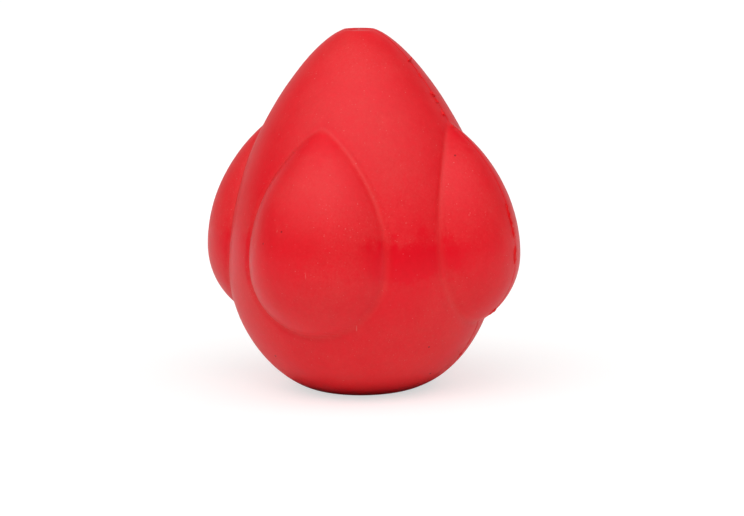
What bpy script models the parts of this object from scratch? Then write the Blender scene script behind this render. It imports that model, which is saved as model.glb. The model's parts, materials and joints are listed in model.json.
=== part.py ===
"""Treat-dispensing chew toy: a hollow rubber pear with four raised lobes and a mouth closed by four tabs.

It stands on the ring round its mouth, with the origin at the centre of that ring, +Z up the axis to the
nose, and a lobe on each of +X, +Y, -X and -Y. Lengths are metres and angles are radians.
"""

from math import cos, pi, radians, sin

import bpy
from mathutils import Vector
from mathutils.geometry import interpolate_bezier

MM = 0.001

# The body, a turned pear: two smooth arcs that meet at the waist, where it is widest
HEIGHT = 108.0 * MM
WAIST_RADIUS = 40.6 * MM
WAIST_Z = 39.0 * MM
RING_RADIUS = 14.8 * MM
RING_RISE = 0.17
RING_PULL = 11.5 * MM
WAIST_PULL_DOWN = 21.0 * MM
WAIST_PULL_UP = 29.2 * MM
NOSE_FLAT_RADIUS = 4.8 * MM
NOSE_SLOPE = 0.35
NOSE_PULL = 13.2 * MM

# The cavity, a smaller pear, and the round mouth that leads into it
WALL = 9.0 * MM
NOSE_WALL = 15.0 * MM
CAVITY_TOP_PULL = 15.0 * MM
MOUTH_RADIUS = 13.5 * MM
NECK_HEIGHT = 9.0 * MM

# The lobes, upright eggs: half a ball below the centre, and a teardrop's taper above it
LOBE_OFFSET = 26.0 * MM
LOBE_Z = 42.0 * MM
LOBE_RADIUS = 23.0 * MM
LOBE_TAPER = 40.2 * MM
LOBE_TAPER_POWER = 0.81
LOBE_NAMES = ("lobe_right", "lobe_back", "lobe_left", "lobe_front")

# The tabs, parts of a disc that reach in from the mouth's wall, with a round root on the hinge axis
TAB_COUNT = 4
TAB_TURN = radians(-20.0)
TAB_DISC_RADIUS = 9.5 * MM
TAB_DISC_CENTRE = 15.8 * MM
TAB_THICKNESS = 3.4 * MM
TAB_HALF_WIDTH = 7.0 * MM
TAB_EDGE_ROUND = 1.0 * MM
HINGE_RADIUS = 11.4 * MM
HINGE_Z = 4.8 * MM
ROOT_RADIUS = 2.1 * MM
ROOT_HALF_LENGTH = 7.5 * MM

GAP = 0.3 * MM
MERGE = 0.01 * MM
TURN_STEPS = 48
LOBE_STEPS = 32
ROOT_SIDES = 24
TAB_SIDES = 64

RUBBER = (0.72, 0.025, 0.03, 1.0)
TAB_RUBBER = (0.60, 0.018, 0.028, 1.0)


def clear_scene():
    for old in list(bpy.data.objects):
        bpy.data.objects.remove(old, do_unlink=True)


def new_collection(name):
    collection = bpy.data.collections.new(name)
    bpy.context.scene.collection.children.link(collection)
    return collection


def rubber(name, colour, roughness):
    """Moulded natural rubber: a matt, non-metallic surface."""
    material = bpy.data.materials.new(name)
    material.use_nodes = True
    shader = material.node_tree.nodes["Principled BSDF"]
    shader.inputs["Base Color"].default_value = colour
    shader.inputs["Roughness"].default_value = roughness
    shader.inputs["Metallic"].default_value = 0.0
    return material


def arc(start, start_handle, end_handle, end, points):
    """Points along a cubic curve in the XZ plane, from (radius, height) pairs."""
    knots = [Vector((radius, 0.0, height)) for radius, height in (start, start_handle, end_handle, end)]
    return interpolate_bezier(*knots, points)


def body_outline(grow=0.0):
    """The outer outline from the nose's edge down to the ring, moved outwards by grow."""
    nose = (NOSE_FLAT_RADIUS, HEIGHT)
    nose_handle = (NOSE_FLAT_RADIUS + NOSE_PULL * cos(NOSE_SLOPE), HEIGHT - NOSE_PULL * sin(NOSE_SLOPE))
    waist = (WAIST_RADIUS, WAIST_Z)
    ring = (RING_RADIUS, 0.0)
    ring_handle = (RING_RADIUS + RING_PULL * cos(RING_RISE), RING_PULL * sin(RING_RISE))
    upper = arc(nose, nose_handle, (WAIST_RADIUS, WAIST_Z + WAIST_PULL_UP), waist, 17)
    lower = arc(waist, (WAIST_RADIUS, WAIST_Z - WAIST_PULL_DOWN), ring_handle, ring, 12)
    outline = upper + lower[1:]
    if grow == 0.0:
        return outline
    grown = []
    for index, point in enumerate(outline):
        along = outline[min(index + 1, len(outline) - 1)] - outline[max(index - 1, 0)]
        outwards = Vector((-along.z, 0.0, along.x)).normalized()
        grown.append(point + outwards * grow)
    return grown


def cavity_outline():
    """The inner outline from the top of the neck up to the cavity's roof on the axis."""
    widest = (WAIST_RADIUS - WALL, WAIST_Z)
    roof = HEIGHT - NOSE_WALL
    shrink = (WAIST_RADIUS - WALL) / WAIST_RADIUS
    floor_handle = (MOUTH_RADIUS + RING_PULL * shrink, NECK_HEIGHT + RING_PULL * RING_RISE)
    lower = arc(
        (MOUTH_RADIUS, NECK_HEIGHT), floor_handle, (widest[0], WAIST_Z - WAIST_PULL_DOWN * shrink), widest, 8
    )
    upper = arc(
        widest, (widest[0], WAIST_Z + WAIST_PULL_UP * shrink), (CAVITY_TOP_PULL, roof), (0.0, roof), 11
    )
    return lower + upper[1:]


def turned(name, outline, steps, collection):
    """A solid turned about Z from an open outline that starts and ends on the axis."""
    mesh = bpy.data.meshes.new(name)
    edges = [(index, index + 1) for index in range(len(outline) - 1)]
    mesh.from_pydata([tuple(point) for point in outline], edges, [])
    turned_object = bpy.data.objects.new(name, mesh)
    collection.objects.link(turned_object)
    screw = turned_object.modifiers.new("turn", "SCREW")
    screw.axis = "Z"
    screw.angle = 2.0 * pi
    screw.steps = steps
    screw.render_steps = steps
    screw.use_merge_vertices = True
    screw.merge_threshold = MERGE
    screw.use_smooth_shade = True
    return turned_object


def cutter(made_object, collection):
    """Marks an object as a tool that only shapes others."""
    for owner in list(made_object.users_collection):
        owner.objects.unlink(made_object)
    collection.objects.link(made_object)
    made_object.hide_render = True
    made_object.display_type = "WIRE"
    return made_object


def boolean(target, operation, other):
    modifier = target.modifiers.new(operation.lower(), "BOOLEAN")
    modifier.operation = operation
    modifier.solver = "EXACT"
    modifier.object = other


def on_axis(radius, azimuth, height):
    return (radius * cos(azimuth), radius * sin(azimuth), height)


def root_rod(name, radius, half_length, azimuth, cutters):
    """A rod on a tab's hinge axis, which runs level and square to the mouth's radius."""
    bpy.ops.mesh.primitive_cylinder_add(
        vertices=ROOT_SIDES,
        radius=radius,
        depth=2.0 * half_length,
        location=on_axis(HINGE_RADIUS, azimuth, HINGE_Z),
        rotation=(pi / 2.0, 0.0, azimuth),
    )
    rod = bpy.context.active_object
    rod.name = name
    return cutter(rod, cutters)


def make_body_shell(parts, cutters, material):
    axis_top = [Vector((0.0, 0.0, HEIGHT))]
    mouth_edge = [Vector((MOUTH_RADIUS, 0.0, 0.0))]
    outline = axis_top + body_outline() + mouth_edge + cavity_outline()
    shell = turned("body_shell", outline, TURN_STEPS, parts)
    shell.data.materials.append(material)
    for azimuth in tab_azimuths():
        groove = root_rod("root_groove", ROOT_RADIUS + GAP, ROOT_HALF_LENGTH + GAP, azimuth, cutters)
        boolean(shell, "DIFFERENCE", groove)


def lobe_outline():
    """The egg's outline from its tip down to its foot, about its own upright axis."""
    taper_steps = 14
    ball_steps = 8
    outline = []
    for step in range(taper_steps):
        rise = cos(0.5 * pi * step / taper_steps)
        radius = LOBE_RADIUS * (1.0 - rise**2) ** LOBE_TAPER_POWER
        outline.append(Vector((radius, 0.0, LOBE_TAPER * rise)))
    for step in range(ball_steps):
        angle = 0.5 * pi * step / ball_steps
        outline.append(Vector((LOBE_RADIUS * cos(angle), 0.0, -LOBE_RADIUS * sin(angle))))
    outline.append(Vector((0.0, 0.0, -LOBE_RADIUS)))
    return outline


def make_lobes(parts, cutters, material):
    """Each lobe is the part of an egg that stands clear of the body."""
    top = [Vector((0.0, 0.0, HEIGHT + GAP))]
    bottom = [Vector((0.0, 0.0, -GAP))]
    clearance = cutter(turned("body_clearance", top + body_outline(GAP) + bottom, TURN_STEPS, cutters), cutters)
    for index, name in enumerate(LOBE_NAMES):
        azimuth = 0.5 * pi * index
        lobe = turned(name, lobe_outline(), LOBE_STEPS, parts)
        lobe.location = on_axis(LOBE_OFFSET, azimuth, LOBE_Z)
        lobe.rotation_euler.z = azimuth
        lobe.data.materials.append(material)
        boolean(lobe, "DIFFERENCE", clearance)


def tab_azimuths():
    return [TAB_TURN + 2.0 * pi * index / TAB_COUNT for index in range(TAB_COUNT)]


def make_tabs(parts, cutters, material):
    """Each tab is a round-edged disc cut off short of the mouth's wall, with its round root joined on."""
    for number, azimuth in enumerate(tab_azimuths(), start=1):
        bpy.ops.mesh.primitive_cylinder_add(
            vertices=TAB_SIDES,
            radius=TAB_DISC_RADIUS,
            depth=TAB_THICKNESS,
            location=on_axis(HINGE_RADIUS, azimuth, HINGE_Z),
            rotation=(0.0, 0.0, azimuth),
        )
        tab = bpy.context.active_object
        tab.name = f"tab_{number}"
        for vertex in tab.data.vertices:
            vertex.co.x += TAB_DISC_CENTRE - HINGE_RADIUS
        for owner in list(tab.users_collection):
            owner.objects.unlink(tab)
        parts.objects.link(tab)
        tab.data.materials.append(material)
        tab.data.shade_smooth()

        rounded = tab.modifiers.new("round_edge", "BEVEL")
        rounded.width = TAB_EDGE_ROUND
        rounded.segments = 3
        rounded.limit_method = "ANGLE"
        rounded.angle_limit = radians(40.0)

        bpy.ops.mesh.primitive_cube_add(
            size=1.0,
            location=on_axis(0.5 * HINGE_RADIUS, azimuth, HINGE_Z),
            rotation=(0.0, 0.0, azimuth),
        )
        keep = bpy.context.active_object
        keep.name = "tab_keep"
        keep.scale = (HINGE_RADIUS, 2.0 * TAB_HALF_WIDTH, 2.0 * TAB_THICKNESS)
        boolean(tab, "INTERSECT", cutter(keep, cutters))
        boolean(tab, "UNION", root_rod("tab_root", ROOT_RADIUS, ROOT_HALF_LENGTH, azimuth, cutters))


clear_scene()
toy_parts = new_collection("rubber_chew_toy")
toy_cutters = new_collection("cutters")
skin_rubber = rubber("natural_rubber", RUBBER, 0.55)
tab_rubber = rubber("natural_rubber_tabs", TAB_RUBBER, 0.6)
make_body_shell(toy_parts, toy_cutters, skin_rubber)
make_lobes(toy_parts, toy_cutters, skin_rubber)
make_tabs(toy_parts, toy_cutters, tab_rubber)
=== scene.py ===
"""A treat-dispensing chew toy moulded in matt red natural rubber, standing on the ring round its mouth.

Everything is in metres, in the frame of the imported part: +Z runs up to the nose, and the mould parted
along the XZ plane.
"""

import json
import random
from math import acos, atan2, cos, pi, radians, sin

import bmesh
import bpy
from mathutils import Matrix, Vector
from mathutils.geometry import interpolate_bezier


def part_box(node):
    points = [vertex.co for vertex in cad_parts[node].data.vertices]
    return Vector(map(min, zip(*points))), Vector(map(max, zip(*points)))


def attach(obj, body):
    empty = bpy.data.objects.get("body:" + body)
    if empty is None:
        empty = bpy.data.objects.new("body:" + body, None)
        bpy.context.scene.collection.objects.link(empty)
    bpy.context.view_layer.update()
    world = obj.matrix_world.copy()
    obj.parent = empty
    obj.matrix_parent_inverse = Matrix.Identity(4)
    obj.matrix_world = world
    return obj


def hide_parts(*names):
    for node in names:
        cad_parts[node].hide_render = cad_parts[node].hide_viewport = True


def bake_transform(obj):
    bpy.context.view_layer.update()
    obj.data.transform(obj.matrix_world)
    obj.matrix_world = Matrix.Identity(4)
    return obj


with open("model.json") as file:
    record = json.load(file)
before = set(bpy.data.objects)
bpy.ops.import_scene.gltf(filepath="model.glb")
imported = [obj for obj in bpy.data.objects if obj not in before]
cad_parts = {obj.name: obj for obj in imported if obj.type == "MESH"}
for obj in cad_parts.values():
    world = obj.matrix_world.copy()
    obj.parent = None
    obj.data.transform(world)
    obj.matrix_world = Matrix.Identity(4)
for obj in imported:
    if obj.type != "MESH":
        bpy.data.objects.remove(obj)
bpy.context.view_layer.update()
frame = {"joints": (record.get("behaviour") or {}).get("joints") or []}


# The moulding: a hollow pear with four eggs run into its wall, in one piece of natural rubber.
# A split mould forms the outside and a core the cavity, and the core leaves through the mouth.
# The skin is one closed surface: nose, side, ring, lip, neck and cavity, with soft roots to the lobes.
MM = 0.001
shell_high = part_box("body_shell")[1]
HEIGHT = shell_high.z
WAIST_RADIUS = shell_high.x
LOBE_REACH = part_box("lobe_right")[1].x
WAIST_Z = 39.0 * MM
WAIST_PULL_DOWN = 21.0 * MM
WAIST_PULL_UP = 29.2 * MM
RING_RADIUS = 14.8 * MM
RING_RISE = 0.17
RING_PULL = 11.5 * MM
MOUTH_RADIUS = 13.5 * MM
LIP_ROUND = 0.7 * MM
LIP_PULL = 0.55 * LIP_ROUND
NOSE_FLAT_RADIUS = 4.8 * MM
NOSE_SLOPE = 0.35
NOSE_PULL = 13.2 * MM
NECK_HEIGHT = 9.0 * MM
NECK_TOP_RISE = 2.0 * MM
WALL = 9.0 * MM
NOSE_WALL = 15.0 * MM
ROOF_PULL = 15.0 * MM
LOBE_COUNT = 4
LOBE_RADIUS = 23.0 * MM
LOBE_OFFSET = LOBE_REACH - LOBE_RADIUS
LOBE_Z = 42.0 * MM
LOBE_TAPER = 40.2 * MM
LOBE_TAPER_POWER = 0.81
LOBE_ROOT_ROUND = 0.4 * MM
LOBE_ROOT_GROOVE = 0.38 * MM
SKIN_RELIEF = 0.5 * MM
MOULD_STEP = 0.12 * MM
TURN_STEPS = 384


def add(tree, kind, inputs=None, **settings):
    """One node, with its settings, values and links. A node given as an input links its first output."""
    node = tree.nodes.new(kind)
    for name, value in settings.items():
        setattr(node, name, value)
    for key, value in (inputs or {}).items():
        if isinstance(value, bpy.types.Node):
            value = value.outputs[0]
        if isinstance(value, bpy.types.NodeSocket):
            tree.links.new(value, node.inputs[key])
        else:
            node.inputs[key].default_value = value
    return node


def colour(code):
    """An sRGB hex colour as linear values."""
    channels = [int(code[i : i + 2], 16) / 255.0 for i in (0, 2, 4)]
    return [c / 12.92 if c <= 0.04045 else ((c + 0.055) / 1.055) ** 2.4 for c in channels] + [1.0]


def arc(start, start_handle, end_handle, end, points):
    """Points along a cubic curve, from (radius, height) pairs, without its last one."""
    knots = [Vector((radius, 0.0, height)) for radius, height in (start, start_handle, end_handle, end)]
    return interpolate_bezier(*knots, points + 1)[:-1]


def moulding_outline():
    """From the nose on the axis, down the outside, round the lip and up the cavity to its roof."""
    shrink = (WAIST_RADIUS - WALL) / WAIST_RADIUS
    roof = HEIGHT - NOSE_WALL
    nose = (NOSE_FLAT_RADIUS, HEIGHT)
    nose_handle = (NOSE_FLAT_RADIUS + NOSE_PULL * cos(NOSE_SLOPE), HEIGHT - NOSE_PULL * sin(NOSE_SLOPE))
    waist = (WAIST_RADIUS, WAIST_Z)
    waist_above = (WAIST_RADIUS, WAIST_Z + WAIST_PULL_UP)
    waist_below = (WAIST_RADIUS, WAIST_Z - WAIST_PULL_DOWN)
    ring = (RING_RADIUS, 0.0)
    ring_handle = (RING_RADIUS + RING_PULL * cos(RING_RISE), RING_PULL * sin(RING_RISE))
    lip = (MOUTH_RADIUS + LIP_ROUND, 0.0)
    lip_handle = (lip[0] - LIP_PULL, 0.0)
    lip_top = (MOUTH_RADIUS, LIP_ROUND)
    neck_top = (MOUTH_RADIUS, NECK_HEIGHT)
    floor_handle = (MOUTH_RADIUS + RING_PULL * shrink, NECK_HEIGHT + NECK_TOP_RISE)
    inner_waist = (WAIST_RADIUS - WALL, WAIST_Z)
    inner_below = (inner_waist[0], WAIST_Z - WAIST_PULL_DOWN * shrink)
    inner_above = (inner_waist[0], WAIST_Z + WAIST_PULL_UP * shrink)
    flat_third = NOSE_FLAT_RADIUS / 3.0
    points = arc((0.0, HEIGHT), (flat_third, HEIGHT), (2.0 * flat_third, HEIGHT), nose, 5)
    points += arc(nose, nose_handle, waist_above, waist, 112)
    points += arc(waist, waist_below, ring_handle, ring, 68)
    points += arc(ring, ring, lip, lip, 2)
    points += arc(lip, lip_handle, (MOUTH_RADIUS, LIP_PULL), lip_top, 6)
    points += arc(lip_top, lip_top, neck_top, neck_top, 12)
    points += arc(neck_top, floor_handle, inner_below, inner_waist, 18)
    points += arc(inner_waist, inner_above, (ROOF_PULL, roof), (0.0, roof), 24)
    return points + [Vector((0.0, 0.0, roof))]


def turned(name, points, steps):
    """A closed surface turned about Z."""
    mesh = bpy.data.meshes.new(name)
    mesh.from_pydata([tuple(p) for p in points], [(i, i + 1) for i in range(len(points) - 1)], [])
    obj = bpy.data.objects.new(name, mesh)
    bpy.context.scene.collection.objects.link(obj)
    screw = obj.modifiers.new("turn", "SCREW")
    screw.axis = "Z"
    screw.angle = 2.0 * pi
    screw.steps = screw.render_steps = steps
    screw.use_merge_vertices = True
    screw.merge_threshold = 0.001 * MM
    return obj


def lobe_tree():
    """Pushes the outside of a turned body out to a ring of upright eggs, with a soft root where they meet.

    At each height an egg is a circle of half-width g round a centre at the offset, so along a ray at angle a
    its skin lies at offset cos a + sqrt(g2 - offset2 sin2 a). Where that has no root the sign carries on
    below zero, so that the lobes fade into the body with no step.
    """
    tree = bpy.data.node_groups.new("lobes_on_a_body", "GeometryNodeTree")
    tree.interface.new_socket("Geometry", in_out="OUTPUT", socket_type="NodeSocketGeometry")
    tree.interface.new_socket("Geometry", in_out="INPUT", socket_type="NodeSocketGeometry")
    tree.interface.new_socket("Lobe count", in_out="INPUT", socket_type="NodeSocketInt")
    for name in (
        "Offset",
        "Lobe height",
        "Ball radius",
        "Taper",
        "Taper power",
        "Root round",
        "Groove",
        "Relief",
        "Step",
    ):
        tree.interface.new_socket(name, in_out="INPUT", socket_type="NodeSocketFloat")
    tree.interface.new_socket("Rubber", in_out="INPUT", socket_type="NodeSocketMaterial")
    given = add(tree, "NodeGroupInput").outputs

    position = add(tree, "GeometryNodeInputPosition")
    place = add(tree, "ShaderNodeSeparateXYZ", {0: position})
    level = add(tree, "ShaderNodeCombineXYZ", {0: place.outputs[0], 1: place.outputs[1]})
    radius = add(tree, "ShaderNodeVectorMath", {0: level}, operation="LENGTH").outputs["Value"]
    azimuth = add(tree, "ShaderNodeMath", {0: place.outputs[1], 1: place.outputs[0]}, operation="ARCTAN2")
    half_pitch = add(tree, "ShaderNodeMath", {0: pi, 1: given["Lobe count"]}, operation="DIVIDE")
    low_pitch = add(tree, "ShaderNodeMath", {0: half_pitch, 1: -1.0}, operation="MULTIPLY")
    folded = add(tree, "ShaderNodeMath", {0: azimuth, 1: half_pitch, 2: low_pitch}, operation="WRAP")

    rise = add(tree, "ShaderNodeMath", {0: place.outputs[2], 1: given["Lobe height"]}, operation="SUBTRACT")
    above = add(tree, "ShaderNodeMath", {0: rise, 1: 0.0}, operation="GREATER_THAN")
    up = add(tree, "ShaderNodeMath", {0: rise, 1: given["Taper"]}, operation="DIVIDE")
    down = add(tree, "ShaderNodeMath", {0: rise, 1: given["Ball radius"]}, operation="DIVIDE")
    share = add(tree, "GeometryNodeSwitch", {0: above, 1: down, 2: up}, input_type="FLOAT")
    power = add(tree, "GeometryNodeSwitch", {0: above, 1: 1.0, 2: 2.0}, input_type="FLOAT")
    full_power = add(tree, "ShaderNodeMath", {0: power, 1: given["Taper power"]}, operation="MULTIPLY")
    egg_power = add(tree, "GeometryNodeSwitch", {0: above, 1: 1.0, 2: full_power}, input_type="FLOAT")
    squared = add(tree, "ShaderNodeMath", {0: share, 1: share}, operation="MULTIPLY")
    left = add(tree, "ShaderNodeMath", {0: 1.0, 1: squared}, operation="SUBTRACT")
    left_size = add(tree, "ShaderNodeMath", {0: left}, operation="ABSOLUTE")
    left_sign = add(tree, "ShaderNodeMath", {0: left}, operation="SIGN")
    raised = add(tree, "ShaderNodeMath", {0: left_size, 1: egg_power}, operation="POWER")
    signed = add(tree, "ShaderNodeMath", {0: raised, 1: left_sign}, operation="MULTIPLY")
    ball = add(tree, "ShaderNodeMath", {0: given["Ball radius"], 1: 2.0}, operation="POWER")
    width = add(tree, "ShaderNodeMath", {0: signed, 1: ball}, operation="MULTIPLY")

    side = add(tree, "ShaderNodeMath", {0: folded}, operation="SINE")
    across = add(tree, "ShaderNodeMath", {0: side, 1: given["Offset"]}, operation="MULTIPLY")
    across_squared = add(tree, "ShaderNodeMath", {0: across, 1: across}, operation="MULTIPLY")
    inside = add(tree, "ShaderNodeMath", {0: width, 1: across_squared}, operation="SUBTRACT")
    inside_size = add(tree, "ShaderNodeMath", {0: inside}, operation="ABSOLUTE")
    inside_root = add(tree, "ShaderNodeMath", {0: inside_size}, operation="SQRT")
    inside_sign = add(tree, "ShaderNodeMath", {0: inside}, operation="SIGN")
    depth = add(tree, "ShaderNodeMath", {0: inside_root, 1: inside_sign}, operation="MULTIPLY")
    ahead = add(tree, "ShaderNodeMath", {0: folded}, operation="COSINE")
    reach = add(tree, "ShaderNodeMath", {0: ahead, 1: given["Offset"]}, operation="MULTIPLY")
    egg_radius = add(tree, "ShaderNodeMath", {0: reach, 1: depth}, operation="ADD")
    # The root is tight along a lobe's sides, and runs out softly at its tip
    near_tip = add(tree, "ShaderNodeMapRange", {0: up, 1: 0.6, 2: 1.0, 3: 1.0, 4: 3.0})
    root = add(tree, "ShaderNodeMath", {0: near_tip, 1: given["Root round"]}, operation="MULTIPLY")
    met = add(tree, "ShaderNodeMath", {0: radius, 1: egg_radius, 2: root}, operation="SMOOTH_MAX")

    # How near a point is to a lobe's root, where the mould's cutter left a fine groove; it is also stored for
    # the rubber, which paints a highlight along the root
    gap = add(tree, "ShaderNodeMath", {0: radius, 1: egg_radius}, operation="SUBTRACT")
    root_share = add(
        tree,
        "ShaderNodeMapRange",
        {0: gap, 1: 1.9 * MM, 2: 0.3 * MM, 3: 0.0, 4: 1.0},
        interpolation_type="SMOOTHSTEP",
    )
    past_root = add(
        tree,
        "ShaderNodeMapRange",
        {0: gap, 1: -0.9 * MM, 2: 0.1 * MM, 3: 0.0, 4: 1.0},
        interpolation_type="SMOOTHSTEP",
    )
    root_groove_and_highlight_share = add(tree, "ShaderNodeMath", {0: root_share, 1: past_root}, operation="MULTIPLY")
    soft_tip = add(tree, "ShaderNodeMapRange", {0: up, 1: 0.5, 2: 0.95, 3: 1.0, 4: 0.25})
    depth_here = add(tree, "ShaderNodeMath", {0: soft_tip, 1: given["Groove"]}, operation="MULTIPLY")
    cut = add(tree, "ShaderNodeMath", {0: root_groove_and_highlight_share, 1: depth_here}, operation="MULTIPLY")
    skin_radius = add(tree, "ShaderNodeMath", {0: met, 1: cut}, operation="SUBTRACT")
    grow = add(tree, "ShaderNodeMath", {0: skin_radius, 1: radius}, operation="DIVIDE")
    moved_level = add(tree, "ShaderNodeVectorMath", {0: level, "Scale": grow}, operation="SCALE")
    height = add(tree, "ShaderNodeCombineXYZ", {2: place.outputs[2]})
    moved = add(tree, "ShaderNodeVectorMath", {0: moved_level, 1: height}, operation="ADD")

    # Stored for the rubber, which paints a highlight along each lobe's root
    marked = add(
        tree,
        "GeometryNodeStoreNamedAttribute",
        {"Geometry": given["Geometry"], "Name": "lobe_root", "Value": root_groove_and_highlight_share},
        data_type="FLOAT",
        domain="POINT",
    )

    facing = add(tree, "GeometryNodeInputNormal")
    outwards = add(tree, "ShaderNodeVectorMath", {0: facing, 1: level}, operation="DOT_PRODUCT")
    outside = add(
        tree, "ShaderNodeMath", {0: outwards.outputs["Value"], 1: 0.0}, operation="GREATER_THAN"
    )
    lobed = add(
        tree,
        "GeometryNodeSetPosition",
        {"Geometry": marked, "Selection": outside, "Position": moved},
    )

    # The mould's back half is a tenth of a millimetre bigger than its front half, which leaves a step.
    # Hand-cut moulds and shrinkage leave the skin as far from true, but the ring is flat.
    broad = add(
        tree, "ShaderNodeTexNoise", {"Vector": position, "Scale": 38.0, "Detail": 2.0, "Roughness": 0.45}
    )
    centred = add(tree, "ShaderNodeMath", {0: broad.outputs[0], 1: 0.5}, operation="SUBTRACT")
    off_ring = add(tree, "ShaderNodeMapRange", {0: place.outputs[2], 1: 0.0, 2: 5.0 * MM, 3: 0.0, 4: 1.0})
    step = add(
        tree, "ShaderNodeMapRange", {0: place.outputs[1], 1: 0.0, 2: 0.3 * MM, 3: 0.0, 4: given["Step"]}
    )
    relief = add(
        tree, "ShaderNodeMath", {0: centred, 1: given["Relief"], 2: step}, operation="MULTIPLY_ADD"
    )
    on_outside = add(tree, "ShaderNodeMath", {0: relief, 1: outside}, operation="MULTIPLY")
    held = add(tree, "ShaderNodeMath", {0: on_outside, 1: off_ring}, operation="MULTIPLY")
    push = add(tree, "ShaderNodeVectorMath", {0: facing, "Scale": held}, operation="SCALE")
    wavy = add(tree, "GeometryNodeSetPosition", {"Geometry": lobed, "Offset": push})
    smooth = add(tree, "GeometryNodeSetShadeSmooth", {"Geometry": wavy})
    real = add(tree, "GeometryNodeRealizeInstances", {"Geometry": smooth})
    painted = add(tree, "GeometryNodeSetMaterial", {"Geometry": real, "Material": given["Rubber"]})
    add(tree, "NodeGroupOutput", {"Geometry": painted})
    return tree


def plain_mesh(obj, name):
    """The evaluated object as a plain mesh object of that name, in place of the one with modifiers."""
    bpy.context.view_layer.update()
    evaluated = obj.evaluated_get(bpy.context.evaluated_depsgraph_get())
    mesh = bpy.data.meshes.new_from_object(evaluated)
    mesh.name = name
    bpy.data.objects.remove(obj)
    made = bpy.data.objects.new(name, mesh)
    bpy.context.scene.collection.objects.link(made)
    return made


def set_inputs(modifier, values):
    """Sets a Geometry Nodes modifier's named inputs by their sockets' identifiers."""
    for item in modifier.node_group.interface.items_tree:
        if item.in_out == "INPUT" and item.name in values:
            modifier[item.identifier] = values[item.name]


# Painted shade: the bloom is taken away, leaving a deeper red, over egg-shaped regions in the hollows between
# lobes, on the lobes' crowns and
# shoulders and round the foot: how far out its middle is, its height, its half-width and half-height, and the
# share of the bloom that goes
SHADE_PAINTED_HOLLOW = (WAIST_RADIUS, WAIST_Z + 5.0 * MM, 20.0 * MM, 7.0 * MM, 0.95)
SHADE_PAINTED_CROWN = (LOBE_REACH, LOBE_Z + 12.0 * MM, 9.0 * MM, 12.0 * MM, 0.25)
SHADE_PAINTED_SHOULDER = (0.75 * WAIST_RADIUS, LOBE_Z + 0.75 * LOBE_TAPER, 7.0 * MM, 15.0 * MM, 0.6)
SHADE_PAINTED_FOOT = (0.0, -2.0 * MM, 60.0 * MM, 5.5 * MM, 1.0)


def around(reach, azimuth, height):
    """A place so far out from the toy's axis, at an azimuth from +X."""
    return Vector((reach * cos(azimuth), reach * sin(azimuth), height))


def painted_shade_patches():
    """Where shade is painted: a hollow between two lobes, a lobe's crown and its shoulder, once for each
    lobe, and the foot.
    """
    patches = [(0.0, SHADE_PAINTED_FOOT)]
    for index in range(LOBE_COUNT):
        crown = 2.0 * pi * index / LOBE_COUNT
        patches += [(crown - pi / LOBE_COUNT, SHADE_PAINTED_HOLLOW), (crown, SHADE_PAINTED_CROWN), (crown, SHADE_PAINTED_SHOULDER)]
    return patches


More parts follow.
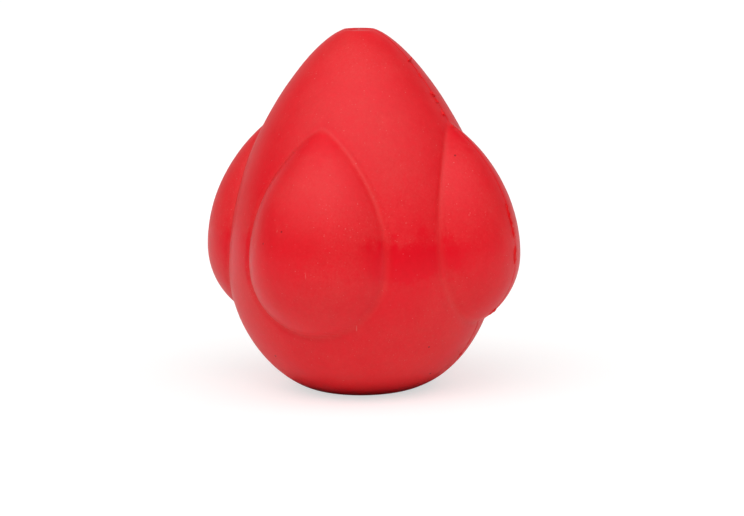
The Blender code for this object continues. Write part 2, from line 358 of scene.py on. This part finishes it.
def moulded_natural_rubber(name, red, dark_red, bloom_share):
    """Pigmented natural rubber from a grit-blasted mould, matt, with a powdery bloom, dust, painted shade and
    a painted highlight.

    The red is dense and even. The bloom is a pale powder that comes out of the rubber and dulls it. It is
    taken away in patches as painted shade, and laid on thicker along the lobes' roots as a painted highlight.
    Handling leaves pale specks, a few dark pits, dents and short hair scratches.
    """
    material = bpy.data.materials.new(name)
    material.use_nodes = True
    tree = material.node_tree
    tree.nodes.clear()
    place = add(tree, "ShaderNodeTexCoord").outputs["Object"]

    # Pigment clouds about 12 mm across, and mottle about 1.5 mm across
    clouds = add(tree, "ShaderNodeTexNoise", {"Vector": place, "Scale": 80.0, "Detail": 3.0})
    mottle = add(tree, "ShaderNodeTexNoise", {"Vector": place, "Scale": 650.0, "Detail": 2.0})
    both = add(tree, "ShaderNodeMath", {0: clouds.outputs[0], 1: mottle.outputs[0]}, operation="ADD")
    tone = add(tree, "ShaderNodeMapRange", {0: both, 1: 0.7, 2: 1.3, 3: 0.0, 4: 1.0})
    pigment = add(
        tree, "ShaderNodeMix", {0: tone, 6: colour(dark_red), 7: colour(red)}, data_type="RGBA"
    ).outputs[2]

    # Bloom, thicker and thinner over about 20 mm, speckled at 0.7 mm, and taken away over the patches of
    # painted shade, whose edges are ragged
    ragged = add(
        tree, "ShaderNodeTexNoise", {"Vector": place, "Scale": 170.0, "Detail": 7.0, "Roughness": 0.8}
    )
    shake = add(
        tree, "ShaderNodeVectorMath", {0: ragged.outputs[1], 1: (0.5, 0.5, 0.5)}, operation="SUBTRACT"
    )
    shaken = add(
        tree, "ShaderNodeVectorMath", {0: shake, 1: (26.0 * MM,) * 3, 2: place}, operation="MULTIPLY_ADD"
    )
    bloom_outside_painted_shade = None
    for azimuth, (reach, middle_height, half_width, half_height, share_taken_for_shade) in painted_shade_patches():
        middle = around(reach, azimuth, middle_height)
        half_sizes = Vector((half_width, half_width, half_height))
        away = add(tree, "ShaderNodeVectorMath", {0: shaken, 1: middle}, operation="SUBTRACT")
        share = add(tree, "ShaderNodeVectorMath", {0: away, 1: half_sizes}, operation="DIVIDE")
        far = add(tree, "ShaderNodeVectorMath", {0: share}, operation="LENGTH").outputs["Value"]
        left = add(tree, "ShaderNodeMapRange", {0: far, 1: 0.65, 2: 1.15, 3: 1.0 - share_taken_for_shade, 4: 1.0})
        bloom_outside_painted_shade = left if bloom_outside_painted_shade is None else add(tree, "ShaderNodeMath", {0: bloom_outside_painted_shade, 1: left}, operation="MULTIPLY")
    drift = add(
        tree, "ShaderNodeTexNoise", {"Vector": place, "Scale": 50.0, "Detail": 6.0, "Roughness": 0.62}
    )
    powder = add(tree, "ShaderNodeMapRange", {0: drift.outputs[0], 1: 0.3, 2: 0.7, 3: 0.25, 4: 1.0})
    speckle = add(
        tree, "ShaderNodeTexNoise", {"Vector": place, "Scale": 1400.0, "Detail": 5.0, "Roughness": 0.8}
    )
    patchy = add(tree, "ShaderNodeMapRange", {0: speckle.outputs[0], 1: 0.38, 2: 0.66, 3: 0.6, 4: 1.45})
    powdered = add(tree, "ShaderNodeMath", {0: powder, 1: patchy}, operation="MULTIPLY")
    # The bloom's thickness, thinner where shade is painted
    thick = add(tree, "ShaderNodeMath", {0: powdered, 1: bloom_outside_painted_shade}, operation="MULTIPLY")
    # Along the lobes' roots the pale bloom colour is laid on thicker, on top of the real bloom: a painted
    # highlight along the crease
    root = add(tree, "ShaderNodeAttribute", attribute_name="lobe_root").outputs["Fac"]
    bloom_and_root_highlight = add(tree, "ShaderNodeMath", {0: root, 1: 0.45, 2: thick}, operation="MULTIPLY_ADD")
    bloom = add(tree, "ShaderNodeMath", {0: bloom_and_root_highlight, 1: bloom_share}, operation="MULTIPLY")
    bloom_shade_and_highlight_colour = add(
        tree, "ShaderNodeMix", {0: bloom, 6: pigment, 7: colour("E6CBB2")}, data_type="RGBA"
    ).outputs[2]

    # Dust: specks of 0.3 mm, about 4 mm apart
    dust_cells = add(tree, "ShaderNodeTexVoronoi", {"Vector": place, "Scale": 620.0})
    dust_spot = add(tree, "ShaderNodeMapRange", {0: dust_cells.outputs[0], 1: 0.12, 2: 0.04, 3: 0.0, 4: 1.0})
    dust_pick = add(tree, "ShaderNodeSeparateColor", {0: dust_cells.outputs[1]})
    dust_some = add(tree, "ShaderNodeMapRange", {0: dust_pick, 1: 0.45, 2: 1.0, 3: 0.0, 4: 0.3})
    dust = add(tree, "ShaderNodeMath", {0: dust_spot, 1: dust_some}, operation="MULTIPLY")
    dusty = add(
        tree, "ShaderNodeMix", {0: dust, 6: bloom_shade_and_highlight_colour, 7: colour("F0C8BE")}, data_type="RGBA"
    ).outputs[2]
    # Finer dust, 0.25 mm across and about 2 mm apart, that lies where the bloom is thick
    fine_cells = add(tree, "ShaderNodeTexVoronoi", {"Vector": place, "Scale": 1100.0})
    fine_spot = add(tree, "ShaderNodeMapRange", {0: fine_cells.outputs[0], 1: 0.2, 2: 0.1, 3: 0.0, 4: 1.0})
    fine_pick = add(tree, "ShaderNodeSeparateColor", {0: fine_cells.outputs[1]})
    fine_some = add(tree, "ShaderNodeMapRange", {0: fine_pick, 1: 0.4, 2: 1.0, 3: 0.0, 4: 0.16})
    fine_dust = add(tree, "ShaderNodeMath", {0: fine_spot, 1: fine_some}, operation="MULTIPLY")
    fine_lying = add(tree, "ShaderNodeMath", {0: fine_dust, 1: thick}, operation="MULTIPLY")
    dusty = add(
        tree, "ShaderNodeMix", {0: fine_lying, 6: dusty, 7: colour("F0C8BE")}, data_type="RGBA"
    ).outputs[2]

    # Pits: dark pinholes of 0.6 mm, about 30 mm apart
    pit_cells = add(tree, "ShaderNodeTexVoronoi", {"Vector": place, "Scale": 110.0})
    pit_spot = add(tree, "ShaderNodeMapRange", {0: pit_cells.outputs[0], 1: 0.05, 2: 0.02, 3: 0.0, 4: 1.0})
    pitted = add(
        tree, "ShaderNodeMix", {0: pit_spot, 6: dusty, 7: colour("8A0610")}, data_type="RGBA"
    ).outputs[2]

    # Hair scratches, 0.2 mm wide and 3 to 5 mm long, in two directions
    scratched = pitted
    for turn, size in (((0.5, 0.35, 0.9), (230.0, 230.0, 16.0)), ((0.9, -0.6, 0.2), (190.0, 190.0, 20.0))):
        slant = add(tree, "ShaderNodeMapping", {"Vector": place, "Rotation": turn, "Scale": size})
        hair_cells = add(tree, "ShaderNodeTexVoronoi", {"Vector": slant, "Scale": 1.0})
        hair = add(tree, "ShaderNodeMapRange", {0: hair_cells.outputs[0], 1: 0.035, 2: 0.015, 3: 0.0, 4: 0.3})
        scratched = add(
            tree, "ShaderNodeMix", {0: hair, 6: scratched, 7: colour("F2A79C")}, data_type="RGBA"
        ).outputs[2]

    # The mould's grit blasting, drawn at 0.5 mm, coarser than the real 0.1 mm, and dents of 2 mm
    grit = add(tree, "ShaderNodeTexNoise", {"Vector": place, "Scale": 2000.0, "Detail": 2.0})
    rough = add(tree, "ShaderNodeMapRange", {0: thick, 1: 0.0, 2: 1.0, 3: 0.3, 4: 0.45})
    tooth = add(tree, "ShaderNodeBump", {"Strength": 0.12, "Distance": 0.05 * MM, "Height": grit})
    worn = add(
        tree, "ShaderNodeTexNoise", {"Vector": place, "Scale": 400.0, "Detail": 1.0, "Distortion": 1.2}
    )
    dents = add(
        tree, "ShaderNodeBump", {"Strength": 0.3, "Distance": 0.1 * MM, "Height": worn, "Normal": tooth}
    )
    holes = add(
        tree,
        "ShaderNodeBump",
        {"Strength": 0.6, "Distance": 0.12 * MM, "Height": pit_spot, "Normal": dents},
        invert=True,
    )
    shader = add(
        tree,
        "ShaderNodeBsdfPrincipled",
        {
            "Base Color": scratched,
            "Roughness": rough,
            "Normal": holes,
            "IOR": 1.52,
            "Specular IOR Level": 0.21,
        },
    )
    add(tree, "ShaderNodeOutputMaterial", {"Surface": shader})
    return material


skin_rubber = moulded_natural_rubber("natural_rubber_moulded_red", "F1031F", "EB021B", 0.048)
body = turned("moulding", moulding_outline(), TURN_STEPS)
lobes = body.modifiers.new("lobes", "NODES")
lobes.node_group = lobe_tree()
set_inputs(
    lobes,
    {
        "Lobe count": LOBE_COUNT,
        "Offset": LOBE_OFFSET,
        "Lobe height": LOBE_Z,
        "Ball radius": LOBE_RADIUS,
        "Taper": LOBE_TAPER,
        "Taper power": LOBE_TAPER_POWER,
        "Root round": LOBE_ROOT_ROUND,
        "Groove": LOBE_ROOT_GROOVE,
        "Relief": SKIN_RELIEF,
        "Step": MOULD_STEP,
        "Rubber": skin_rubber,
    },
)
moulding = plain_mesh(body, "moulding")
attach(moulding, "toy_body")
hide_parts("body_shell", "lobe_right", "lobe_back", "lobe_left", "lobe_front")


# The flash: a thin line of rubber that squeezed out between the halves of the mould, from the nose over
# two of the lobes to the foot. It was torn off by hand, and left a low ridge, and here and there a nib.
FLASH_MIDDLE = 45.0 * MM
FLASH_END_ANGLE = radians(71.2)
FLASH_STEP = 0.35 * MM
FLASH_WIDTH = 0.13 * MM
FLASH_RAYS = 900
FLASH_RAY_START = 90.0 * MM
FLASH_FADES_FROM = 106.0 * MM
FLASH_FADED_BY = 107.4 * MM
TEAR_OFFSET = 0.8 * MM
# The flash tears worst where the seam turns. Each stretch has a lowest and a highest point, a number of nibs,
# and their greatest length and width: above the lobe, at its tip, on its crown, at its foot, by the ring
LOBE_TIP = LOBE_Z + LOBE_TAPER
LOBE_FOOT = LOBE_Z - LOBE_RADIUS
NIB_STRETCHES = (
    (LOBE_TIP + 4.0 * MM, HEIGHT - 8.0 * MM, 4, 4.0 * MM, 1.7 * MM),
    (LOBE_TIP - 3.0 * MM, LOBE_TIP + 3.0 * MM, 2, 2.8 * MM, 2.5 * MM),
    (LOBE_Z, LOBE_Z + 16.0 * MM, 3, 9.0 * MM, 2.4 * MM),
    (LOBE_FOOT, LOBE_FOOT + 13.0 * MM, 2, 3.0 * MM, 2.2 * MM),
    (LIP_ROUND, LOBE_FOOT, 1, 2.2 * MM, 1.5 * MM),
)
NIB_SIDEWAYS = 0.4 * MM
NIB_SEED = 9


def torn_nibs():
    """The nibs on both sides, shaken along their stretches: each has a place beside the toy and a size.

    A nib is a quarter as thick as it is wide, and a quarter of a millimetre more.
    """
    shake = random.Random(NIB_SEED)
    made = []
    for side in (1.0, -1.0):
        for lowest, highest, count, longest, widest in NIB_STRETCHES:
            for index in range(count):
                height = lowest + (highest - lowest) * (index + shake.random()) / count
                length = longest * shake.uniform(0.5, 1.0)
                width = widest * shake.uniform(0.7, 1.0)
                place = (side * WAIST_RADIUS * 2.0, -shake.uniform(0.0, NIB_SIDEWAYS), height)
                made.append((place, (length, width, 0.25 * (width + MM))))
    return made


def flash_tree():
    """Casts a line and a scatter of nibs on to the skin along the parting plane.

    The line is a bent tube half sunk in the skin, its thickness shaken by noise. Each nib is a stretched
    and torn ball, turned to lie along the seam.
    """
    tree = bpy.data.node_groups.new("torn_flash", "GeometryNodeTree")
    tree.interface.new_socket("Geometry", in_out="OUTPUT", socket_type="NodeSocketGeometry")
    tree.interface.new_socket("Geometry", in_out="INPUT", socket_type="NodeSocketGeometry")
    tree.interface.new_socket("Skin", in_out="INPUT", socket_type="NodeSocketObject")
    for name in ("Middle", "End angle", "Step", "Width"):
        tree.interface.new_socket(name, in_out="INPUT", socket_type="NodeSocketFloat")
    tree.interface.new_socket("Rubber", in_out="INPUT", socket_type="NodeSocketMaterial")
    given = add(tree, "NodeGroupInput").outputs
    skin = add(tree, "GeometryNodeObjectInfo", {"Object": given["Skin"]}, transform_space="RELATIVE")
    middle = add(tree, "ShaderNodeCombineXYZ", {2: given["Middle"]})

    # The line: rays from a wide arc in the XZ plane, inwards to the skin
    ring = add(tree, "GeometryNodeMeshLine", {"Count": FLASH_RAYS})
    index = add(tree, "GeometryNodeInputIndex")
    share = add(tree, "ShaderNodeMath", {0: index, 1: FLASH_RAYS - 1.0}, operation="DIVIDE")
    high_angle = add(tree, "ShaderNodeMath", {0: pi, 1: given["End angle"]}, operation="ADD")
    low_angle = add(tree, "ShaderNodeMath", {0: given["End angle"], 1: -1.0}, operation="MULTIPLY")
    angle = add(tree, "ShaderNodeMapRange", {0: share, 3: low_angle, 4: high_angle})
    along = add(tree, "ShaderNodeMath", {0: angle}, operation="COSINE")
    up = add(tree, "ShaderNodeMath", {0: angle}, operation="SINE")
    outwards = add(tree, "ShaderNodeCombineXYZ", {0: along, 2: up})
    far = add(tree, "ShaderNodeVectorMath", {0: outwards, "Scale": FLASH_RAY_START}, operation="SCALE")
    start = add(tree, "ShaderNodeVectorMath", {0: far, 1: middle}, operation="ADD")
    inwards = add(tree, "ShaderNodeVectorMath", {0: outwards, "Scale": -1.0}, operation="SCALE")
    line_hit = add(
        tree,
        "GeometryNodeRaycast",
        {
            "Target Geometry": skin.outputs["Geometry"],
            "Source Position": start,
            "Ray Direction": inwards,
            "Ray Length": 1.0,
        },
    )
    laid = add(
        tree, "GeometryNodeSetPosition", {"Geometry": ring, "Position": line_hit.outputs["Hit Position"]}
    )
    route = add(tree, "GeometryNodeMeshToCurve", {"Mesh": laid})
    even = add(tree, "GeometryNodeResampleCurve", {"Curve": route, "Length": given["Step"]}, mode="LENGTH")
    place = add(tree, "GeometryNodeInputPosition")
    torn = add(tree, "ShaderNodeTexNoise", {"Vector": place, "Scale": 260.0, "Detail": 3.0, "Roughness": 0.7})
    thick = add(tree, "ShaderNodeMapRange", {0: torn.outputs[0], 1: 0.35, 2: 0.7, 3: 0.15, 4: 1.0})
    place_parts = add(tree, "ShaderNodeSeparateXYZ", {0: place})
    off_nose = add(
        tree,
        "ShaderNodeMapRange",
        {0: place_parts.outputs[2], 1: FLASH_FADES_FROM, 2: FLASH_FADED_BY, 3: 1.0, 4: 0.2},
    )
    full_size = add(tree, "ShaderNodeMath", {0: thick, 1: given["Width"]}, operation="MULTIPLY")
    size = add(tree, "ShaderNodeMath", {0: full_size, 1: off_nose}, operation="MULTIPLY")
    round_section = add(tree, "GeometryNodeCurvePrimitiveCircle", {"Resolution": 8, "Radius": 1.0})
    line = add(
        tree,
        "GeometryNodeCurveToMesh",
        {"Curve": even, "Profile Curve": round_section.outputs[0], "Scale": size, "Fill Caps": True},
    )

    # The nibs: each of the given points is thrown level at the skin and carries its own size
    side = add(tree, "ShaderNodeMath", {0: place_parts.outputs[0]}, operation="SIGN")
    back_across = add(tree, "ShaderNodeMath", {0: side, 1: -1.0}, operation="MULTIPLY")
    throw = add(tree, "ShaderNodeCombineXYZ", {0: back_across})
    nib_hit = add(
        tree,
        "GeometryNodeRaycast",
        {
            "Target Geometry": skin.outputs["Geometry"],
            "Source Position": place,
            "Ray Direction": throw,
            "Ray Length": 1.0,
        },
    )
    upright = add(
        tree,
        "FunctionNodeAlignRotationToVector",
        {"Vector": nib_hit.outputs["Hit Normal"]},
        axis="Z",
    )
    seam_way = add(
        tree,
        "ShaderNodeVectorMath",
        {0: nib_hit.outputs["Hit Normal"], 1: (0.0, 1.0, 0.0)},
        operation="CROSS_PRODUCT",
    )
    turned_way = add(
        tree,
        "FunctionNodeAlignRotationToVector",
        {"Rotation": upright, "Vector": seam_way},
        axis="X",
        pivot_axis="Z",
    )
    on_skin = add(
        tree,
        "GeometryNodeSetPosition",
        {"Geometry": given["Geometry"], "Position": nib_hit.outputs["Hit Position"]},
    )
    ball = add(tree, "GeometryNodeMeshIcoSphere", {"Radius": 0.5, "Subdivisions": 4})
    own_size = add(tree, "GeometryNodeInputNamedAttribute", {"Name": "nib_size"}, data_type="FLOAT_VECTOR")
    scattered = add(
        tree,
        "GeometryNodeInstanceOnPoints",
        {"Points": on_skin, "Instance": ball, "Rotation": turned_way, "Scale": own_size},
    )
    loose = add(tree, "GeometryNodeRealizeInstances", {"Geometry": scattered})
    rip = add(tree, "ShaderNodeTexNoise", {"Vector": place, "Scale": 900.0, "Detail": 2.0})
    rip_centred = add(
        tree, "ShaderNodeVectorMath", {0: rip.outputs[1], 1: (0.5, 0.5, 0.5)}, operation="SUBTRACT"
    )
    rip_way = add(tree, "ShaderNodeVectorMath", {0: rip_centred, "Scale": TEAR_OFFSET}, operation="SCALE")
    ragged = add(tree, "GeometryNodeSetPosition", {"Geometry": loose, "Offset": rip_way})

    joined = add(tree, "GeometryNodeJoinGeometry")
    tree.links.new(line.outputs[0], joined.inputs[0])
    tree.links.new(ragged.outputs[0], joined.inputs[0])
    smooth = add(tree, "GeometryNodeSetShadeSmooth", {"Geometry": joined})
    real = add(tree, "GeometryNodeRealizeInstances", {"Geometry": smooth})
    painted = add(tree, "GeometryNodeSetMaterial", {"Geometry": real, "Material": given["Rubber"]})
    add(tree, "NodeGroupOutput", {"Geometry": painted})
    return tree


def torn_natural_rubber():
    """Freshly torn natural rubber: no bloom yet, so it is a deeper red than the moulded skin and glossier."""
    material = bpy.data.materials.new("natural_rubber_torn_red")
    material.use_nodes = True
    tree = material.node_tree
    tree.nodes.clear()
    place = add(tree, "ShaderNodeTexCoord").outputs["Object"]
    # Tear lines of 0.4 mm
    tears = add(tree, "ShaderNodeTexNoise", {"Vector": place, "Scale": 2500.0, "Detail": 2.0})
    deep = add(
        tree,
        "ShaderNodeMix",
        {0: tears.outputs[0], 6: colour("DC0008"), 7: colour("FA0510")},
        data_type="RGBA",
    ).outputs[2]
    relief = add(tree, "ShaderNodeBump", {"Strength": 0.4, "Distance": 0.1 * MM, "Height": tears})
    shader = add(
        tree,
        "ShaderNodeBsdfPrincipled",
        {"Base Color": deep, "Roughness": 0.35, "Normal": relief, "IOR": 1.52, "Specular IOR Level": 0.28},
    )
    add(tree, "ShaderNodeOutputMaterial", {"Surface": shader})
    return material


nib_mesh = bpy.data.meshes.new("flash_nibs")
nib_mesh.from_pydata([place for place, size in torn_nibs()], [], [])
nib_sizes = nib_mesh.attributes.new("nib_size", "FLOAT_VECTOR", "POINT")
for item, (place, size) in zip(nib_sizes.data, torn_nibs()):
    item.vector = size
nibs = bpy.data.objects.new("flash_nibs", nib_mesh)
bpy.context.scene.collection.objects.link(nibs)
laying = nibs.modifiers.new("torn_flash", "NODES")
laying.node_group = flash_tree()
set_inputs(
    laying,
    {
        "Skin": moulding,
        "Middle": FLASH_MIDDLE,
        "End angle": FLASH_END_ANGLE,
        "Step": FLASH_STEP,
        "Width": FLASH_WIDTH,
        "Rubber": torn_natural_rubber(),
    },
)
flash = plain_mesh(nibs, "parting_flash")
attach(flash, "toy_body")


# The tabs: four thick rounded flaps of the same rubber, moulded in one with the mouth's wall.
# Each is part of a round pad, domed on the mouth's side, with its root in the mouth's wall.
TAB_DISC_RADIUS = 9.5 * MM
TAB_DISC_CENTRE = 15.8 * MM
TAB_BOTTOM = 3.1 * MM
TAB_TOP = 6.5 * MM
TAB_DOME = 0.5 * MM
TAB_EDGE_ROUND = 1.3 * MM
TAB_ROOT_DEPTH = 1.0 * MM
TAB_FAN_START = 1.8 * MM


def tab_mesh(name, azimuth):
    """A fan of equal sections round the pad's centre: over the top, round the free edge and back beneath."""
    root = MOUTH_RADIUS + TAB_ROOT_DEPTH
    spread = acos(
        (TAB_DISC_CENTRE**2 + TAB_DISC_RADIUS**2 - root**2) / (2.0 * TAB_DISC_CENTRE * TAB_DISC_RADIUS)
    )
    back = TAB_FAN_START
    straight = TAB_DISC_RADIUS - TAB_EDGE_ROUND
    middle = 0.5 * (TAB_TOP + TAB_BOTTOM)
    half = 0.5 * (TAB_TOP - TAB_BOTTOM)
    rows = 10
    edge_steps = 12
    section = [(back + (straight - back) * i / rows, half) for i in range(rows)]
    for i in range(edge_steps + 1):
        turn = 0.5 * pi - pi * i / edge_steps
        section.append((straight + TAB_EDGE_ROUND * cos(turn), half * sin(turn)))
    section += [(straight - (straight - back) * i / rows, -half) for i in range(1, rows + 1)]
    steps = 36
    made = bmesh.new()
    rings = []
    for step in range(steps + 1):
        angle = pi - spread + 2.0 * spread * step / steps
        ring = []
        for reach, rise in section:
            dome = TAB_DOME * (1.0 - (reach / TAB_DISC_RADIUS) ** 2) if rise < 0.0 else 0.0
            x = TAB_DISC_CENTRE + reach * cos(angle)
            y = reach * sin(angle)
            ring.append(made.verts.new((x, y, middle + rise - dome)))
        rings.append(ring)
    count = len(section)
    for first, second in zip(rings, rings[1:]):
        for i in range(count):
            made.faces.new((first[i], first[(i + 1) % count], second[(i + 1) % count], second[i]))
    made.faces.new(rings[0])
    made.faces.new(list(reversed(rings[-1])))
    bmesh.ops.recalc_face_normals(made, faces=made.faces)
    bmesh.ops.transform(made, matrix=Matrix.Rotation(azimuth, 4, "Z"), verts=made.verts)
    mesh = bpy.data.meshes.new(name)
    made.to_mesh(mesh)
    made.free()
    mesh.shade_smooth()
    return mesh


# The tabs' rubber is a darker red with less bloom than the skin's: painted shade for the tabs down in the
# mouth
tab_rubber_shaded = moulded_natural_rubber("natural_rubber_tabs_shaded_red", "E5041F", "DC031B", 0.015)
for joint in frame["joints"]:
    number = joint["child"].split("_")[1]
    azimuth = atan2(joint["pos_m"][1], joint["pos_m"][0])
    tab = bpy.data.objects.new(f"flap_{number}", tab_mesh(f"flap_{number}", azimuth))
    bpy.context.scene.collection.objects.link(tab)
    tab.data.materials.append(tab_rubber_shaded)
    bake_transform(tab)
    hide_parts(joint["child"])


# The studio: a white paper floor that glows like a light table, under a soft tent brightest in front.
# The camera sees the floor, and the toy is lit from below by a matt board just under it instead.
# A grey pad round the foot, hidden from the camera, is a dark sheet standing in for the shade under the toy
# and keeps the underside deep red, and a lamp under the mouth lights the tabs.
FLOOR_RADIUS = 6.0
FLOOR_GLOW = 0.62
BOARD_HEIGHT = -0.5 * MM
FOOT_PAD_HEIGHT = -0.3 * MM
FOOT_PAD_RADIUS = 26.0 * MM


def studio_disc(name, height, hole_radius, radius, paper, glow):
    """A wide level disc of matt paper, with a share of light of its own, clear from beneath."""
    material = bpy.data.materials.new(name)
    material.use_nodes = True
    tree = material.node_tree
    tree.nodes.clear()
    face = add(
        tree,
        "ShaderNodeBsdfPrincipled",
        {
            "Base Color": colour(paper),
            "Roughness": 0.9,
            "Specular IOR Level": 0.1,
            "Emission Color": colour("FFFFFF"),
            "Emission Strength": glow,
        },
    )
    beneath = add(tree, "ShaderNodeNewGeometry").outputs["Backfacing"]
    clear = add(tree, "ShaderNodeBsdfTransparent")
    sheet = add(tree, "ShaderNodeMixShader", {0: beneath, 1: face, 2: clear})
    add(tree, "ShaderNodeOutputMaterial", {"Surface": sheet})
    corners = []
    faces = []
    sides = 96
    for side in range(sides):
        angle = 2.0 * pi * side / sides
        for reach in (hole_radius, radius):
            corners.append((reach * cos(angle), reach * sin(angle), height))
        after = 2 * ((side + 1) % sides)
        faces.append((2 * side, 2 * side + 1, after + 1, after))
    if hole_radius == 0.0:
        corners = corners[1::2]
        faces = [tuple(range(sides))]
    mesh = bpy.data.meshes.new(name)
    mesh.from_pydata(corners, [], faces)
    mesh.materials.append(material)
    disc = bpy.data.objects.new(name, mesh)
    bpy.context.scene.collection.objects.link(disc)
    return disc


floor = studio_disc("floor", 0.0, 0.0, FLOOR_RADIUS, "BCBCBB", FLOOR_GLOW)
floor.visible_diffuse = False
floor.visible_glossy = False
floor.visible_shadow = False
board = studio_disc("bounce_board", BOARD_HEIGHT, MOUTH_RADIUS, FLOOR_RADIUS, "F7F7F6", 0.0)
board.visible_camera = False
shade_pad = studio_disc("foot_pad", FOOT_PAD_HEIGHT, MOUTH_RADIUS, FOOT_PAD_RADIUS, "8A8A8A", 0.0)
shade_pad.visible_camera = False


def level_direction(azimuth_deg, elevation_deg):
    """A direction from the toy: azimuth 0 is straight in front, at -Y, and grows towards +X."""
    azimuth, elevation = radians(azimuth_deg), radians(elevation_deg)
    return Vector((sin(azimuth) * cos(elevation), -cos(azimuth) * cos(elevation), sin(elevation)))


def soft_light(name, direction, distance, width, height, radiance):
    """A rectangular lamp turned to the toy's middle, as bright all over as the radiance given."""
    light = bpy.data.lights.new(name, "AREA")
    light.shape = "RECTANGLE"
    light.size = width
    light.size_y = height
    light.energy = pi * width * height * radiance
    lamp = bpy.data.objects.new(name, light)
    lamp.location = Vector((0.0, 0.0, 0.5 * HEIGHT)) + direction * distance
    lamp.rotation_euler = (-direction).to_track_quat("-Z", "Y").to_euler()
    bpy.context.scene.collection.objects.link(lamp)
    return lamp


soft_light(
    "light_above", level_direction(25.0, 58.0), distance=1.2, width=0.9, height=0.6, radiance=0.35
)
mouth_lamp = soft_light(
    "light_below_mouth", level_direction(0.0, -90.0), distance=0.8, width=0.9, height=0.9, radiance=1.2
)
mouth_lamp.visible_camera = False

# The tent's light in front: the way it faces, the cosines at which it starts and is full, and its least and
# greatest brightness. It is dark below one height and full above another. The glow behind, which rims the
# toy, has a way it faces, a cosine at which it starts, and a brightness
FRONT_FACING = level_direction(15.4, -9.7)
FRONT_STARTS, FRONT_FULL = -0.706, 0.429
FRONT_LEAST, FRONT_MOST = 0.07, 2.04
TENT_DARK_BELOW, TENT_FULL_ABOVE = 0.2, 0.707
BEHIND_FACING = level_direction(-158.7, -14.9)
BEHIND_STARTS = 0.245
BEHIND_MOST = 0.55
tent = bpy.data.worlds.new("light_tent")
tent.use_nodes = True
bpy.context.scene.world = tent
tent.node_tree.nodes.clear()
direction = add(tent.node_tree, "ShaderNodeTexCoord").outputs["Generated"]
front = add(
    tent.node_tree,
    "ShaderNodeVectorMath",
    {0: direction, 1: FRONT_FACING},
    operation="DOT_PRODUCT",
)
brightness = add(
    tent.node_tree,
    "ShaderNodeMapRange",
    {0: front.outputs["Value"], 1: FRONT_STARTS, 2: FRONT_FULL, 3: FRONT_LEAST, 4: FRONT_MOST},
    interpolation_type="SMOOTHSTEP",
)
height_of = add(tent.node_tree, "ShaderNodeSeparateXYZ", {0: direction})
rise = add(
    tent.node_tree,
    "ShaderNodeMapRange",
    {0: height_of.outputs[2], 1: TENT_DARK_BELOW, 2: TENT_FULL_ABOVE, 3: 0.0, 4: 1.0},
)
behind = add(
    tent.node_tree,
    "ShaderNodeVectorMath",
    {0: direction, 1: BEHIND_FACING},
    operation="DOT_PRODUCT",
)
rim_glow = add(
    tent.node_tree,
    "ShaderNodeMapRange",
    {0: behind.outputs["Value"], 1: BEHIND_STARTS, 2: 1.0, 3: 0.0, 4: BEHIND_MOST},
    interpolation_type="SMOOTHSTEP",
)
strength = add(
    tent.node_tree, "ShaderNodeMath", {0: brightness, 1: rise, 2: rim_glow}, operation="MULTIPLY_ADD"
)
glow = add(tent.node_tree, "ShaderNodeBackground", {"Color": colour("FFFFFF"), "Strength": strength})
add(tent.node_tree, "ShaderNodeOutputWorld", {"Surface": glow})

# Colours are shown as they are, with no film curve
bpy.context.scene.view_settings.view_transform = "Standard"


# The camera: a long lens 0.8 m away, a little above the toy and to the right of its front lobe.
# It aims below the toy's middle, and is rolled by less than a degree.
CAMERA_AZIMUTH = radians(22.49)
CAMERA_ELEVATION = radians(9.67)
CAMERA_ROLL = radians(-0.82)
CAMERA_DISTANCE = 0.7934
CAMERA_LENS_MM = 127.3
SENSOR_WIDTH_MM = 36.0
AIM_HEIGHT = 0.03902
AIM_RIGHT = 0.00296
back = Vector(
    (
        sin(CAMERA_AZIMUTH) * cos(CAMERA_ELEVATION),
        -cos(CAMERA_AZIMUTH) * cos(CAMERA_ELEVATION),
        sin(CAMERA_ELEVATION),
    )
)
right = Vector((cos(CAMERA_AZIMUTH), sin(CAMERA_AZIMUTH), 0.0))
aim = right * AIM_RIGHT + Vector((0.0, 0.0, AIM_HEIGHT))
lens = bpy.data.cameras.new("camera")
lens.lens = CAMERA_LENS_MM
lens.sensor_width = SENSOR_WIDTH_MM
camera = bpy.data.objects.new("camera", lens)
camera.rotation_mode = "QUATERNION"
level_turn = (-back).to_track_quat("-Z", "Y")
camera.rotation_quaternion = level_turn @ Matrix.Rotation(CAMERA_ROLL, 3, "Z").to_quaternion()
camera.location = aim + back * CAMERA_DISTANCE
bpy.context.scene.collection.objects.link(camera)
bpy.context.scene.camera = camera
